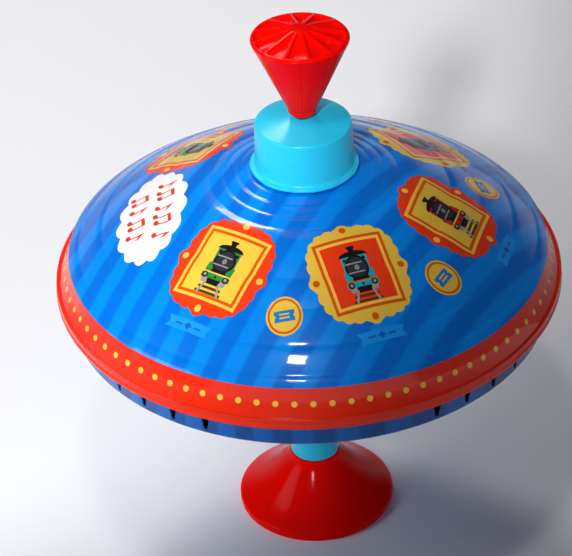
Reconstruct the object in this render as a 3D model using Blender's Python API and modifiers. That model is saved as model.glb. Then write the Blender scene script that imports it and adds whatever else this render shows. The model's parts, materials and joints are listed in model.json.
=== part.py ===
"""Pump-action humming top: a tinplate body that spins on a standing foot.

Pushing the handle down drives a twisted steel strip through a slotted disc in the cap.
The disc grips its cone seat and turns the body; pulling the handle up lets the disc run free.
Frame: +Z up, origin on the floor under the middle of the foot, front of the print towards -Y.
"""
from math import asin, cos, pi, radians, sin

import bmesh
import bpy
from mathutils import Matrix, Vector

MM = 0.001

# ---------------------------------------------------------------- driving dimensions
RIM_R = 95.0 * MM              # widest part of the body
RIM_Z = 108.6 * MM             # underside of the rim seam above the floor
DOME_RISE = 48.1 * MM          # from the rim's underside up to the seat of the cap
DOME_CROWN = 3.8 * MM          # how far the dome bulges above a straight cone
BAND_RISE = 13.85 * MM         # height of the sloping red band and its seam
BAND_LEAN = 5.7 * MM           # how much narrower the body is at the top of the band
SHELL_WALL = 0.5 * MM          # tinplate of both shells
STEP_HEIGHT = 0.8 * MM         # relief of the pressed rings
STEPS_AT = (0.0, 0.064, 0.136, 0.21, 0.488, 0.637, 0.815, 0.947, 1.0)

SEAM_HEIGHT = 4.2 * MM         # rolled seam under the red band
SEAM_STEP = 0.9 * MM           # how far the seam stands out of the band
SEAM_ROUND = 0.5 * MM
FLANGE_W = 1.2 * MM            # the seam turns in under the lower shell this far short of the skirt
SKIRT_DROP = 10.6 * MM         # short upright wall under the seam
SKIRT_IN = 4.4 * MM            # that wall lies this far inside the rim
BELLY_DROP = 50.0 * MM         # from the rim's underside down to the flat bottom
BELLY_FLAT_R = 15.0 * MM       # flat round the stem

SLOT_TOP_W = 3.4 * MM          # whistle slots: wide at the top, narrow below
SLOT_FOOT_W = 1.3 * MM
SLOT_HEIGHT = 6.6 * MM
SLOT_SPACING = radians(8.4)
SLOTS_IN_GROUP = 4
SLOT_GROUPS = (-37.5, 41.2, 142.5, 221.2)      # degrees round from the front

CAP_R = 17.7 * MM              # light blue cap at its top edge
CAP_FOOT_R = 18.3 * MM
CAP_FLANGE_R = 20.1 * MM
CAP_FLANGE_T = 1.3 * MM
CAP_HEIGHT = 18.0 * MM         # flange underside to the top edge
CAP_PEAK = 2.8 * MM            # the top rises this much to its middle
CAP_WALL = 1.4 * MM
SPIGOT_R = 14.0 * MM           # the cap's neck, which goes down through the dome
SPIGOT_DROP = 7.0 * MM

HANDLE_R = 17.8 * MM
HANDLE_HEIGHT = 31.9 * MM      # tip to the edge of the top
HANDLE_TIP_R = 5.6 * MM
HANDLE_TIP_ROUND = 2.9 * MM
HANDLE_CROWN = 3.9 * MM        # the top rises this much to its hub
HUB_R = 3.6 * MM
HANDLE_BAND = 1.9 * MM         # plain ring round the ribbed top
RIB_COUNT = 12
RIB_W = 1.0 * MM
RIB_TURN = radians(10.5)       # first rib, round from the front
POCKET_DEPTH = 1.6 * MM

STRIP_W = 5.0 * MM             # twisted strip of the pump
STRIP_T = 1.6 * MM
STRIP_PITCH = 40.0 * MM        # length of one full twist
STRIP_IN_HANDLE = 22.0 * MM
REST_ROOM = 11.4 * MM          # tube left free under the stop; the handle then rises 85 mm
STOP_T = 2.0 * MM

TUBE_R = 6.0 * MM              # tin tube that the strip runs in
TUBE_WALL = 0.8 * MM
HOUSING_WALL = 1.4 * MM
HOUSING_HEIGHT = 15.0 * MM
HOUSING_FLOOR = 2.6 * MM
SEAT_HEIGHT = 6.0 * MM
SEAT_WALL = 1.5 * MM           # cone seat at its upper edge
DISC_T = 3.0 * MM
DISC_LIFT = 2.4 * MM           # room above the disc for it to lift and run free
STOP_PASS = 0.5 * MM           # room round the stop where it rises through the seat

STEM_R = 9.45 * MM
STEM_BORE_R = 7.0 * MM
STEM_COLLAR_R = 13.0 * MM
STEM_COLLAR_T = 1.8 * MM
STEM_INSIDE = 5.0 * MM         # how far the stem stands up into the body

FOOT_R = 30.6 * MM
FOOT_HEIGHT = 22.8 * MM
FOOT_TOP_R = 10.2 * MM
FOOT_LIP_H = 2.8 * MM
FOOT_LIP_W = 1.9 * MM
FOOT_WALL = 1.8 * MM
FOOT_SAG = 1.3 * MM            # how hollow the flare is
BOSS_R = 7.5 * MM
BOSS_FLOOR_Z = 6.0 * MM
PIN_R = 2.5 * MM
PIN_SEAT_Z = 8.3 * MM
PIN_DROP = 12.6 * MM           # top of the pivot pin below the belly's flat
BUSH_HEIGHT = 8.0 * MM
CLIP_T = 0.8 * MM
CLIP_R = 5.0 * MM
GROOVE_DEPTH = 0.7 * MM
BALL_R = 2.5 * MM
SOCKET_HEIGHT = 5.6 * MM

REED_COUNT = 6
REED_L = 22.0 * MM
REED_W = 4.0 * MM
REED_T = 0.4 * MM
REED_R = 58.0 * MM             # middle of each reed from the axis
WINDOW_MARGIN = 0.7 * MM
PLATE_T = 0.6 * MM
RIVET_R = 0.9 * MM
RIVET_HEAD_R = 1.8 * MM
RIVET_HEAD_T = 0.7 * MM

GAP = 0.3 * MM                 # between pieces that touch or slide on each other

# ---------------------------------------------------------------- places that follow
DOME_TOP_Z = RIM_Z + DOME_RISE
SHOULDER_R = RIM_R - BAND_LEAN
CAP_Z = DOME_TOP_Z + GAP                       # underside of the cap's flange
CAP_EDGE_Z = CAP_Z + CAP_HEIGHT
CAP_PEAK_Z = CAP_EDGE_Z + CAP_PEAK
STRIP_DIAG = ((STRIP_W / 2) ** 2 + (STRIP_T / 2) ** 2) ** 0.5
PASS_R = STRIP_DIAG + GAP                      # round holes that the strip passes through
HANDLE_TIP_Z = CAP_PEAK_Z + GAP
HANDLE_EDGE_Z = HANDLE_TIP_Z + HANDLE_HEIGHT
BELLY_Z = RIM_Z - BELLY_DROP
STEM_TOP_Z = BELLY_Z + STEM_INSIDE
STEM_BOTTOM_Z = FOOT_HEIGHT + GAP
PIN_TOP_Z = BELLY_Z - PIN_DROP
HOUSING_R = SPIGOT_R - CAP_WALL - GAP
SEAT_R = HOUSING_R - HOUSING_WALL - GAP
DISC_R = SEAT_R - SEAT_WALL - GAP              # drive disc at its upper edge
STOP_R = TUBE_R - TUBE_WALL - 2 * GAP
SEAT_LOW_R = STOP_R + STOP_PASS
CONE_SLOPE = (DISC_R + GAP - SEAT_LOW_R) / SEAT_HEIGHT
HOUSING_Z = CAP_Z - SPIGOT_DROP + GAP
SEAT_Z = HOUSING_Z + HOUSING_FLOOR + GAP
DISC_Z = SEAT_Z + SEAT_HEIGHT - DISC_T
GUIDE_Z = DISC_Z + DISC_T + DISC_LIFT
TUBE_TOP_Z = HOUSING_Z + HOUSING_FLOOR
BALL_Z = PIN_TOP_Z + GAP + BALL_R
SOCKET_Z = BALL_Z + BALL_R + GAP
TUBE_BOTTOM_Z = SOCKET_Z + SOCKET_HEIGHT + GAP
STOP_Z = TUBE_BOTTOM_Z + REST_ROOM
STRIP_BOTTOM_Z = STOP_Z - GAP
PLATE_Z = RIM_Z + SHELL_WALL + GAP + SHELL_WALL + GAP
SKIRT_R = RIM_R - SKIRT_IN

LARGE_ROUND = 48               # facets round the shells
MIDDLE_ROUND = 36
SMALL_ROUND = 20
STRIP_SLICES = 32              # facets in one twist of the strip


# ---------------------------------------------------------------- scene and helpers
for old in list(bpy.data.objects):
    bpy.data.objects.remove(old, do_unlink=True)

parts = bpy.data.collections.new("humming_top")
tools = bpy.data.collections.new("cutters")
bpy.context.scene.collection.children.link(parts)
bpy.context.scene.collection.children.link(tools)


def finish(name, colour, roughness, metallic=0.0):
    """A plain material with the piece's colour."""
    made = bpy.data.materials.new(name)
    made.use_nodes = True
    shader = made.node_tree.nodes["Principled BSDF"]
    shader.inputs["Base Color"].default_value = (*colour, 1.0)
    shader.inputs["Roughness"].default_value = roughness
    shader.inputs["Metallic"].default_value = metallic
    return made


BLUE_TIN = finish("blue_tinplate", (0.0, 0.25, 0.83), 0.25)
SKY_PLASTIC = finish("sky_blue_plastic", (0.03, 0.56, 0.93), 0.3)
RED_PLASTIC = finish("red_plastic", (0.75, 0.01, 0.01), 0.3)
BARE_TIN = finish("bare_tinplate", (0.62, 0.62, 0.6), 0.35, 1.0)
STEEL = finish("steel", (0.56, 0.57, 0.58), 0.25, 1.0)
BRASS = finish("brass", (0.78, 0.57, 0.23), 0.3, 1.0)
NYLON = finish("natural_nylon", (0.8, 0.78, 0.7), 0.45)


def add_object(name, mesh, material=None):
    """Put a mesh in the scene: a piece when it has a material, a cutter when it has none."""
    made = bpy.data.objects.new(name, mesh)
    if material:
        mesh.materials.append(material)
        parts.objects.link(made)
    else:
        tools.objects.link(made)
        made.hide_render = True
        made.display_type = "WIRE"
    return made


def turned(name, profile, rounds, material=None, wall=None, ring=False):
    """Turn a profile of (radius, height) points, given down its outer side, about Z.

    wall gives an open surface its thickness, inwards. ring joins the last point to the first.
    """
    mesh = bpy.data.meshes.new(name)
    points = [(r, 0.0, z) for r, z in profile]
    edges = [(i, i + 1) for i in range(len(points) - 1)]
    if ring:
        edges.append((len(points) - 1, 0))
    mesh.from_pydata(points, edges, [])
    made = add_object(name, mesh, material)
    screw = made.modifiers.new("turn", "SCREW")
    screw.axis = "Z"
    screw.angle = 2 * pi
    screw.steps = rounds
    screw.render_steps = rounds
    screw.use_merge_vertices = True
    screw.merge_threshold = 0.00001
    screw.use_smooth_shade = True
    if wall:
        shell = made.modifiers.new("wall", "SOLIDIFY")
        shell.thickness = wall
        shell.offset = -1.0
        shell.use_even_offset = True
    return made


def ring_profile(inner, outer, low, high):
    """Square section of a plain ring."""
    return [(inner, high), (outer, high), (outer, low), (inner, low)]


def cut(piece, tool, name):
    """Take a cutter away from a piece."""
    made = piece.modifiers.new(name, "BOOLEAN")
    made.operation = "DIFFERENCE"
    made.object = tool
    return made


def block(bm, width, depth, height, centre, turn=0.0):
    """Add a box to bm, turned about Z after it is moved out along -Y."""
    made = bmesh.ops.create_cube(bm, size=1.0)
    place = Matrix.Rotation(turn, 4, "Z") @ Matrix.Translation(centre)
    scale = Matrix.Diagonal((width, depth, height, 1.0))
    bmesh.ops.transform(bm, matrix=place @ scale, verts=made["verts"])
    return made["verts"]


def mesh_of(name, bm):
    """Close a bmesh into a mesh with its faces pointing out."""
    bmesh.ops.recalc_face_normals(bm, faces=bm.faces)
    mesh = bpy.data.meshes.new(name)
    bm.to_mesh(mesh)
    bm.free()
    return mesh


# ---------------------------------------------------------------- shells
def dome_height(share):
    """Height of the smooth dome where share runs from 0 at the cap to 1 at the shoulder."""
    drop = (DOME_RISE - BAND_RISE) * share
    return DOME_TOP_Z - drop + 4 * DOME_CROWN * share * (1 - share)


def dome_profile():
    """The stepped dome: a crease at each share of STEPS_AT and a crown between creases."""
    span = SHOULDER_R - CAP_FLANGE_R
    points = [(SPIGOT_R + GAP, DOME_TOP_Z), (CAP_FLANGE_R, DOME_TOP_Z)]
    for start, end in zip(STEPS_AT, STEPS_AT[1:]):
        relief = STEP_HEIGHT * min(1.0, 6 * (end - start))
        crown = start + 0.55 * (end - start)
        points.append((CAP_FLANGE_R + span * crown, dome_height(crown) + 0.7 * relief))
        points.append((CAP_FLANGE_R + span * end, dome_height(end) - 0.3 * relief))
    points[-1] = (SHOULDER_R, RIM_Z + BAND_RISE)
    return points


def upper_shell():
    """Dome, sloping band and the rolled seam that grips the lower shell."""
    seam_top = RIM_Z + SEAM_HEIGHT
    band_foot_r = RIM_R - SEAM_STEP
    band_middle_z = RIM_Z + (BAND_RISE + SEAM_HEIGHT) / 2
    profile = dome_profile()
    profile += [
        (SHOULDER_R + 0.35 * (band_foot_r - SHOULDER_R), band_middle_z),
        (band_foot_r, seam_top),
        (RIM_R, seam_top - SEAM_STEP),
        (RIM_R, RIM_Z + SEAM_ROUND),
        (RIM_R - SEAM_ROUND, RIM_Z),
        (SKIRT_R + FLANGE_W, RIM_Z),
    ]
    return turned("upper_shell", profile, LARGE_ROUND, BLUE_TIN, wall=SHELL_WALL)


def lower_shell():
    """Flange inside the seam, upright skirt with whistle slots, and the shallow belly."""
    flange_z = RIM_Z + SHELL_WALL + GAP
    flange_r = RIM_R - SHELL_WALL - GAP - SEAM_ROUND
    bend = 1.2 * MM
    skirt_z = RIM_Z - SKIRT_DROP
    profile = [
        (flange_r, flange_z),
        (SKIRT_R + 0.6 * MM, flange_z),
        (SKIRT_R, flange_z - 0.6 * MM),
        (SKIRT_R - 0.6 * MM, skirt_z + bend),
        (SKIRT_R - 1.7 * MM, skirt_z),
    ]
    start_r, start_z = profile[-1]
    for share in (0.33, 0.37, 0.66, 0.70):
        swell = 1.2 * MM if share in (0.37, 0.70) else 0.0
        r = start_r + (BELLY_FLAT_R - start_r) * share
        z = start_z + (BELLY_Z - start_z) * share
        profile.append((r, z - swell))
    profile.append((BELLY_FLAT_R, BELLY_Z))
    profile.append((STEM_R + GAP, BELLY_Z))
    shell = turned("lower_shell", profile, LARGE_ROUND, BLUE_TIN, wall=SHELL_WALL)
    cut(shell, slot_cutter(), "whistle_slots")
    return shell


def slot_cutter():
    """All whistle slots as tapered wedges through the skirt, in one cutter."""
    bm = bmesh.new()
    top = RIM_Z - 1.6 * MM
    reach = 6.0 * MM
    for group in SLOT_GROUPS:
        for index in range(SLOTS_IN_GROUP):
            turn = radians(group) + (index - (SLOTS_IN_GROUP - 1) / 2) * SLOT_SPACING
            centre = Vector((0, -SKIRT_R, top - SLOT_HEIGHT / 2))
            corners = block(bm, SLOT_TOP_W, reach, SLOT_HEIGHT, centre, turn)
            narrow = SLOT_FOOT_W / SLOT_TOP_W
            across = Vector((cos(turn), sin(turn), 0))
            for corner in corners:
                if corner.co.z < centre.z:
                    corner.co -= across * corner.co.dot(across) * (1 - narrow)
    return add_object("slot_cutter", mesh_of("slot_cutter", bm))


# ---------------------------------------------------------------- foot and its bearing
def foot():
    """Flared foot, hollow underneath, with a boss that holds the pivot pin."""
    top = FOOT_HEIGHT
    flare = [(FOOT_TOP_R, top - 1.0 * MM)]
    flare_end = (FOOT_R - 1.6 * MM, FOOT_LIP_H + 0.9 * MM)
    steps = 5
    for index in range(1, steps + 1):
        share = index / steps
        r = FOOT_TOP_R + (flare_end[0] - FOOT_TOP_R) * share
        z = flare[0][1] + (flare_end[1] - flare[0][1]) * share
        flare.append((r, z - 4 * FOOT_SAG * share * (1 - share)))
    under = [(r - 0.6 * FOOT_WALL, z - FOOT_WALL) for r, z in reversed(flare[1:])]
    bore = PIN_R + GAP
    profile = [(0, PIN_SEAT_Z - GAP), (bore, PIN_SEAT_Z - GAP), (bore, top), (FOOT_TOP_R - 1.0 * MM, top)]
    profile += flare
    profile += [(FOOT_R, FOOT_LIP_H), (FOOT_R, 0), (FOOT_R - FOOT_LIP_W, 0)]
    profile += [(FOOT_R - FOOT_LIP_W, FOOT_LIP_H - FOOT_WALL + 0.7 * MM)]
    profile += [point for point in under if point[0] > BOSS_R + 1.0 * MM]
    boss_top = under[-1][1] + 1.0 * MM
    profile += [(BOSS_R, boss_top), (BOSS_R, BOSS_FLOOR_Z), (0, BOSS_FLOOR_Z)]
    return turned("foot", profile, MIDDLE_ROUND, RED_PLASTIC)


def bearing():
    """Pivot pin, ball, socket, bush and the clip that keeps the foot on."""
    bush_z = STEM_BOTTOM_Z + 1.0 * MM
    clip_z = bush_z + BUSH_HEIGHT + GAP
    groove_r = PIN_R - GROOVE_DEPTH
    pin = [
        (0, PIN_TOP_Z),
        (PIN_R - 0.6 * MM, PIN_TOP_Z),
        (PIN_R, PIN_TOP_Z - 0.6 * MM),
        (PIN_R, clip_z + CLIP_T + GAP),
        (groove_r, clip_z + CLIP_T + GAP),
        (groove_r, clip_z - GAP),
        (PIN_R, clip_z - GAP),
        (PIN_R, PIN_SEAT_Z),
        (0, PIN_SEAT_Z),
    ]
    turned("pivot_pin", pin, SMALL_ROUND, STEEL)

    bm = bmesh.new()
    bmesh.ops.create_uvsphere(bm, u_segments=16, v_segments=10, radius=BALL_R)
    bmesh.ops.translate(bm, vec=(0, 0, BALL_Z), verts=bm.verts)
    add_object("bearing_ball", mesh_of("bearing_ball", bm), STEEL)

    plug_r = STEM_BORE_R - GAP
    socket = [
        (0, SOCKET_Z + SOCKET_HEIGHT),
        (plug_r, SOCKET_Z + SOCKET_HEIGHT),
        (plug_r, SOCKET_Z - BALL_R),
        (BALL_R + 0.8 * MM, SOCKET_Z - BALL_R),
        (BALL_R * 0.6, SOCKET_Z),
        (0, SOCKET_Z),
    ]
    turned("pivot_socket", socket, SMALL_ROUND, NYLON)

    bush = ring_profile(PIN_R + GAP, plug_r, bush_z, bush_z + BUSH_HEIGHT)
    turned("stem_bush", bush, SMALL_ROUND, NYLON, ring=True)

    clip = ring_profile(groove_r + GAP, CLIP_R, clip_z, clip_z + CLIP_T)
    ring = turned("retaining_clip", clip, SMALL_ROUND, STEEL, ring=True)
    bm = bmesh.new()
    block(bm, 2 * groove_r, CLIP_R, 4 * CLIP_T, Vector((0, -CLIP_R / 2 - groove_r / 2, clip_z)))
    cut(ring, add_object("clip_mouth", mesh_of("clip_mouth", bm)), "mouth")


def stem():
    """Stem below the body, its collar under the belly and the ring that locks it inside."""
    collar_top = BELLY_Z - GAP
    profile = [
        (STEM_BORE_R, STEM_TOP_Z),
        (STEM_R, STEM_TOP_Z),
        (STEM_R, collar_top),
        (STEM_COLLAR_R, collar_top),
        (STEM_COLLAR_R, collar_top - STEM_COLLAR_T),
        (STEM_R, collar_top - STEM_COLLAR_T - 1.2 * MM),
        (STEM_R, STEM_BOTTOM_Z + 0.6 * MM),
        (STEM_R - 0.6 * MM, STEM_BOTTOM_Z),
        (STEM_BORE_R, STEM_BOTTOM_Z),
    ]
    turned("stem", profile, MIDDLE_ROUND, SKY_PLASTIC, ring=True)
    lock_z = BELLY_Z + SHELL_WALL + GAP
    lock = ring_profile(STEM_R + GAP, BELLY_FLAT_R - 1.0 * MM, lock_z, lock_z + 1.2 * MM)
    turned("stem_lock_ring", lock, SMALL_ROUND, STEEL, ring=True)


# ---------------------------------------------------------------- cap and clutch
def cap():
    """Cap with its flange and neck, and the spring ring that locks it under the dome."""
    inner_foot = CAP_FOOT_R - CAP_WALL
    inner_top = CAP_R - CAP_WALL
    neck = SPIGOT_R - CAP_WALL
    floor_z = CAP_Z + CAP_FLANGE_T + 0.2 * MM
    slope = CAP_PEAK / (CAP_R - PASS_R)
    profile = [
        (PASS_R, CAP_PEAK_Z),
        (CAP_R - 0.6 * MM, CAP_EDGE_Z + 0.6 * MM * slope),
        (CAP_R, CAP_EDGE_Z - 0.5 * MM),
        (CAP_FOOT_R, CAP_Z + CAP_FLANGE_T + 1.4 * MM),
        (CAP_FOOT_R + 0.5 * MM, CAP_Z + CAP_FLANGE_T + 0.4 * MM),
        (CAP_FLANGE_R - 0.2 * MM, CAP_Z + CAP_FLANGE_T),
        (CAP_FLANGE_R, CAP_Z + CAP_FLANGE_T - 0.3 * MM),
        (CAP_FLANGE_R, CAP_Z),
        (SPIGOT_R, CAP_Z),
        (SPIGOT_R, CAP_Z - SPIGOT_DROP),
        (neck, CAP_Z - SPIGOT_DROP),
        (neck, floor_z),
        (inner_foot, floor_z),
        (inner_top, CAP_EDGE_Z - CAP_WALL),
        (PASS_R, CAP_PEAK_Z - CAP_WALL),
    ]
    turned("top_cap", profile, MIDDLE_ROUND, SKY_PLASTIC, ring=True)
    lock_z = DOME_TOP_Z - SHELL_WALL - GAP
    lock = ring_profile(SPIGOT_R + GAP, CAP_FLANGE_R, lock_z - 0.8 * MM, lock_z)
    turned("cap_lock_ring", lock, MIDDLE_ROUND, STEEL, ring=True)


def clutch():
    """Housing in the cap's neck, cone seat, drive disc and guide washer."""
    hole = TUBE_R + GAP
    top = HOUSING_Z + HOUSING_HEIGHT
    bore = HOUSING_R - HOUSING_WALL
    housing = [
        (bore, top),
        (HOUSING_R, top),
        (HOUSING_R, HOUSING_Z),
        (hole, HOUSING_Z),
        (hole, HOUSING_Z + HOUSING_FLOOR),
        (bore, HOUSING_Z + HOUSING_FLOOR),
    ]
    turned("clutch_housing", housing, MIDDLE_ROUND, NYLON, ring=True)

    seat = [
        (DISC_R + GAP, SEAT_Z + SEAT_HEIGHT),
        (SEAT_R, SEAT_Z + SEAT_HEIGHT),
        (SEAT_R, SEAT_Z),
        (SEAT_LOW_R, SEAT_Z),
    ]
    turned("clutch_seat", seat, MIDDLE_ROUND, BRASS, ring=True)

    disc_low_r = DISC_R - CONE_SLOPE * DISC_T
    disc = [(0, DISC_Z + DISC_T), (DISC_R, DISC_Z + DISC_T), (disc_low_r, DISC_Z), (0, DISC_Z)]
    wheel = turned("drive_disc", disc, MIDDLE_ROUND, STEEL)
    slot = strip_mesh("disc_slot", DISC_Z - DISC_T, DISC_Z + 2 * DISC_T, GAP)
    cut(wheel, add_object("disc_slot", slot), "slot")

    guide = ring_profile(PASS_R, SEAT_R, GUIDE_Z, GUIDE_Z + 1.2 * MM)
    turned("guide_washer", guide, SMALL_ROUND, STEEL, ring=True)

    tube = ring_profile(TUBE_R - TUBE_WALL, TUBE_R, TUBE_BOTTOM_Z, TUBE_TOP_Z)
    turned("centre_tube", tube, SMALL_ROUND, BARE_TIN, ring=True)


# ---------------------------------------------------------------- pump
def strip_mesh(name, low, high, grow):
    """A flat strip from low to high, twisted right-handed, with grow added all round its section."""
    bm = bmesh.new()
    width = STRIP_W + 2 * grow
    thick = STRIP_T + 2 * grow
    block(bm, width, thick, high - low, Vector((0, 0, (low + high) / 2)))
    planes = [(Vector((0, 0, 0)), Vector((1, 0, 0)))]
    slice_height = STRIP_PITCH / STRIP_SLICES
    level = int(low / slice_height) + 1
    while level * slice_height < high - 0.01 * slice_height:
        planes.append((Vector((0, 0, level * slice_height)), Vector((0, 0, 1))))
        level += 1
    for point, normal in planes:
        everything = bm.verts[:] + bm.edges[:] + bm.faces[:]
        bmesh.ops.bisect_plane(bm, geom=everything, plane_co=point, plane_no=normal)
    for vert in bm.verts:
        vert.co = Matrix.Rotation(2 * pi * vert.co.z / STRIP_PITCH, 3, "Z") @ vert.co
    return mesh_of(name, bm)


def pump():
    """Handle with its ribbed top, twisted strip and the stop at the strip's lower end."""
    strip_top = HANDLE_TIP_Z + STRIP_IN_HANDLE
    add_object("spindle", strip_mesh("spindle", STRIP_BOTTOM_Z, strip_top, 0.0), STEEL)

    stop = [
        (0, STOP_Z + STOP_T),
        (STOP_R, STOP_Z + STOP_T),
        (STOP_R, STOP_Z),
        (0, STOP_Z),
    ]
    washer = turned("spindle_stop", stop, SMALL_ROUND, STEEL)
    slot = strip_mesh("stop_slot", STOP_Z - STOP_T, STOP_Z + 2 * STOP_T, GAP)
    cut(washer, add_object("stop_slot", slot), "slot")

    bore_top = HANDLE_TIP_Z + STRIP_IN_HANDLE + GAP
    tip = HANDLE_TIP_Z
    profile = [
        (0, HANDLE_EDGE_Z + HANDLE_CROWN),
        (HUB_R, HANDLE_EDGE_Z + HANDLE_CROWN - 0.3 * MM),
        (HANDLE_R - 0.8 * MM, HANDLE_EDGE_Z + 0.3 * MM),
        (HANDLE_R, HANDLE_EDGE_Z - 0.6 * MM),
        (HANDLE_R - 0.15 * MM, HANDLE_EDGE_Z - 1.6 * MM),
        (HANDLE_TIP_R, tip + HANDLE_TIP_ROUND),
        (HANDLE_TIP_R - 0.7 * MM, tip + 0.4 * HANDLE_TIP_ROUND),
        (PASS_R + 0.9 * MM, tip),
        (PASS_R, tip),
        (PASS_R, bore_top),
        (0, bore_top),
    ]
    knob = turned("handle", profile, MIDDLE_ROUND, RED_PLASTIC)
    cut(knob, pocket_cutter(), "pockets")


def pocket_cutter():
    """The shallow sectors between the ribs on the handle's top, in one cutter."""
    bm = bmesh.new()
    inner = HUB_R
    outer = HANDLE_R - HANDLE_BAND
    fall = HANDLE_CROWN / (HANDLE_R - HUB_R)
    half = pi / RIB_COUNT
    for index in range(RIB_COUNT):
        middle = RIB_TURN + (index + 0.5) * 2 * half - pi / 2
        outline = []
        for radius, order in ((inner, (-1, 1)), (outer, (1, 0.33, -0.33, -1))):
            reach = half - asin(RIB_W / 2 / radius)
            floor = HANDLE_EDGE_Z + fall * (HANDLE_R - radius) - POCKET_DEPTH
            for side in order:
                angle = middle + side * reach
                outline.append(bm.verts.new((radius * cos(angle), radius * sin(angle), floor)))
        face = bm.faces.new(outline)
        raised = bmesh.ops.extrude_face_region(bm, geom=[face])
        lifted = [item for item in raised["geom"] if isinstance(item, bmesh.types.BMVert)]
        bmesh.ops.translate(bm, vec=(0, 0, 4 * POCKET_DEPTH), verts=lifted)
    return add_object("pocket_cutter", mesh_of("pocket_cutter", bm))


# ---------------------------------------------------------------- sound
def sound():
    """Plate clamped in the seam, with a riveted reed over each window."""
    outer = RIM_R - SEAM_STEP - SHELL_WALL - 2 * GAP
    plate_profile = ring_profile(TUBE_R + GAP, outer, PLATE_Z, PLATE_Z + PLATE_T)
    plate = turned("reed_plate", plate_profile, MIDDLE_ROUND, BARE_TIN, ring=True)
    reed_z = PLATE_Z + PLATE_T + GAP
    hole_r = RIVET_R + GAP
    rivet_at = REED_R - REED_L / 2 + 2.2 * MM
    window_l = REED_L - 6.0 * MM
    window_at = REED_R + (REED_L - window_l) / 2 + WINDOW_MARGIN

    bm = bmesh.new()
    for index in range(REED_COUNT):
        turn = 2 * pi * index / REED_COUNT
        size = (REED_W + 2 * WINDOW_MARGIN, window_l + 2 * WINDOW_MARGIN, 6 * PLATE_T)
        block(bm, *size, Vector((0, -window_at, PLATE_Z)), turn)
        place = Matrix.Rotation(turn, 4, "Z") @ Matrix.Translation((0, -rivet_at, PLATE_Z))
        bmesh.ops.create_cone(
            bm, cap_ends=True, segments=12, radius1=hole_r, radius2=hole_r, depth=6 * PLATE_T, matrix=place
        )
    cut(plate, add_object("window_cutter", mesh_of("window_cutter", bm)), "windows")

    for index in range(REED_COUNT):
        turn = 2 * pi * index / REED_COUNT
        number = index + 1
        bm = bmesh.new()
        block(bm, REED_W, REED_L, REED_T, Vector((0, -REED_R, reed_z + REED_T / 2)), turn)
        reed = add_object(f"reed_{number}", mesh_of(f"reed_{number}", bm), BRASS)
        bm = bmesh.new()
        place = Matrix.Rotation(turn, 4, "Z") @ Matrix.Translation((0, -rivet_at, reed_z))
        bmesh.ops.create_cone(
            bm, cap_ends=True, segments=12, radius1=hole_r, radius2=hole_r, depth=6 * REED_T, matrix=place
        )
        cut(reed, add_object(f"reed_hole_{number}", mesh_of(f"reed_hole_{number}", bm)), "hole")

        low = PLATE_Z - GAP
        high = reed_z + REED_T + GAP
        profile = [
            (0, high + RIVET_HEAD_T),
            (RIVET_HEAD_R * 0.6, high + RIVET_HEAD_T),
            (RIVET_HEAD_R, high),
            (RIVET_R, high),
            (RIVET_R, low),
            (RIVET_HEAD_R, low),
            (RIVET_HEAD_R * 0.6, low - RIVET_HEAD_T),
            (0, low - RIVET_HEAD_T),
        ]
        rivet = turned(f"reed_rivet_{number}", profile, 12, STEEL)
        rivet.matrix_world = Matrix.Rotation(turn, 4, "Z") @ Matrix.Translation((0, -rivet_at, 0))


upper_shell()
lower_shell()
stem()
cap()
clutch()
sound()
foot()
bearing()
pump()
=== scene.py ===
# %% [markdown]
# # A pump-action humming top
#
# A tinplate humming top has a printed body of two pressed shells, a plastic cap, a conical handle
# on a twisted strip, and a round foot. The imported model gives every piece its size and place, so
# this lesson only builds the finer surface around it: the pressed rings, the print, the plastics
# and the light. Everything is in metres, with the floor at zero height and the front towards -Y.

# %% Load the fixed frame
import json
from math import atan, atan2, cos, pi, radians, sin, tan

import bpy
from mathutils import Matrix, Vector


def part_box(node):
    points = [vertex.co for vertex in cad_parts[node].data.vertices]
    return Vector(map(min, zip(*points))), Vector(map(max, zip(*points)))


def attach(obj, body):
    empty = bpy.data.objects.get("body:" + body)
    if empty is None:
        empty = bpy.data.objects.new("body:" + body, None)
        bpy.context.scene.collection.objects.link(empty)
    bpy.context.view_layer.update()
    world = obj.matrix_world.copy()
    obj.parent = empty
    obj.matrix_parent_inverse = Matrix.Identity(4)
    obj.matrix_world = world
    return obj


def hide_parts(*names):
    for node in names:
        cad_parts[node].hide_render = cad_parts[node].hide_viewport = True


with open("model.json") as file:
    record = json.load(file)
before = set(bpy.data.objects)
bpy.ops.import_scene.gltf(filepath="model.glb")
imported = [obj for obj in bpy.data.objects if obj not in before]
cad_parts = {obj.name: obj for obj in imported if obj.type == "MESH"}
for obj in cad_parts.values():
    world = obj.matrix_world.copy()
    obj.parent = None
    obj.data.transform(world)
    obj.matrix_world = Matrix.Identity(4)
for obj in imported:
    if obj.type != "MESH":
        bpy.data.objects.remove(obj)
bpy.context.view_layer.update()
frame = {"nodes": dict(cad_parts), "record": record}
MM = 0.001
print("nodes:", len(frame["nodes"]))

# %% [markdown]
# ## Sizes read from the model
#
# A node's box gives its lowest and highest corner. Round pieces start their facets on the X axis,
# so the box's X is their true radius. Working in millimetres keeps the numbers readable. Pieces
# that touch keep the model's small gap, and the walls of tin and plastic are each given once.

# %% Sizes in millimetres
def low_high(node):
    """Lowest and highest height of a node, and its radius, in millimetres."""
    low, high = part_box(node)
    return low.z / MM, high.z / MM, high.x / MM


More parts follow.
